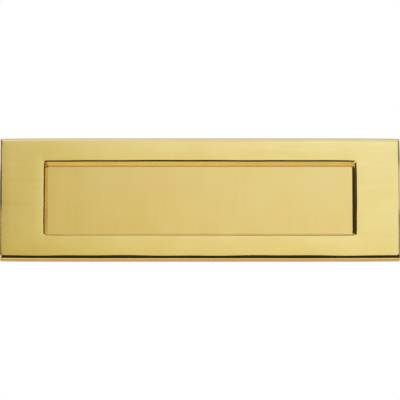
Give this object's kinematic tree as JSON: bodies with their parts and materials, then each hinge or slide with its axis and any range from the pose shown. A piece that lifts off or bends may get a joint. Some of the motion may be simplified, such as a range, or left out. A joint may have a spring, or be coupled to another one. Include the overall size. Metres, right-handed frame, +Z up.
{
  "type": "letter plate",
  "caption": "Rectangular polished brass letter plate for a door or wall, with a recessed aperture closed by a sprung flap that opens inwards, and studs that pass through the door.",
  "frame": {"origin": "middle of the face plate's back rim, where it meets the door", "axes": "+X along the plate to the right seen from the street, +Y into the door, +Z up"},
  "size_m": [0.254, 0.0655, 0.08],
  "materials": {
    "plate_brass": "polished, sloped edges",
    "flap_brass": "polished, faint vertical lines",
    "rod_steel": "drawn bright bar",
    "spring_steel": "spring wire",
    "zinc": "bright zinc plate",
    "rubber": "matt moulded"
  },
  "bodies": {
    "plate": {"front_plate": "plate_brass", "hinge_rod": "rod_steel", "rod_clip_left": "spring_steel", "rod_clip_right": "spring_steel", "spring_left": "spring_steel", "spring_right": "spring_steel", "spring_keeper_left": "spring_steel", "spring_keeper_right": "spring_steel", "buffer_left": "rubber", "buffer_right": "rubber", "fixing_stud_left": "zinc", "fixing_stud_right": "zinc", "washer_left": "zinc", "washer_right": "zinc", "lock_washer_left": "zinc", "lock_washer_right": "zinc", "nut_left": "zinc", "nut_right": "zinc"},
    "flap": {"flap": "flap_brass"}
  },
  "joints": [
    {"name": "flap_hinge", "type": "hinge", "parent": "plate", "child": "flap", "pos_m": [0, 0.00135, 0.03], "axis": [1, 0, 0], "range_deg": [0, 85], "stiffness_Nm_per_rad": 0.05, "springref_deg": -57.3, "deforming": ["spring_left", "spring_right"]}
  ]
}
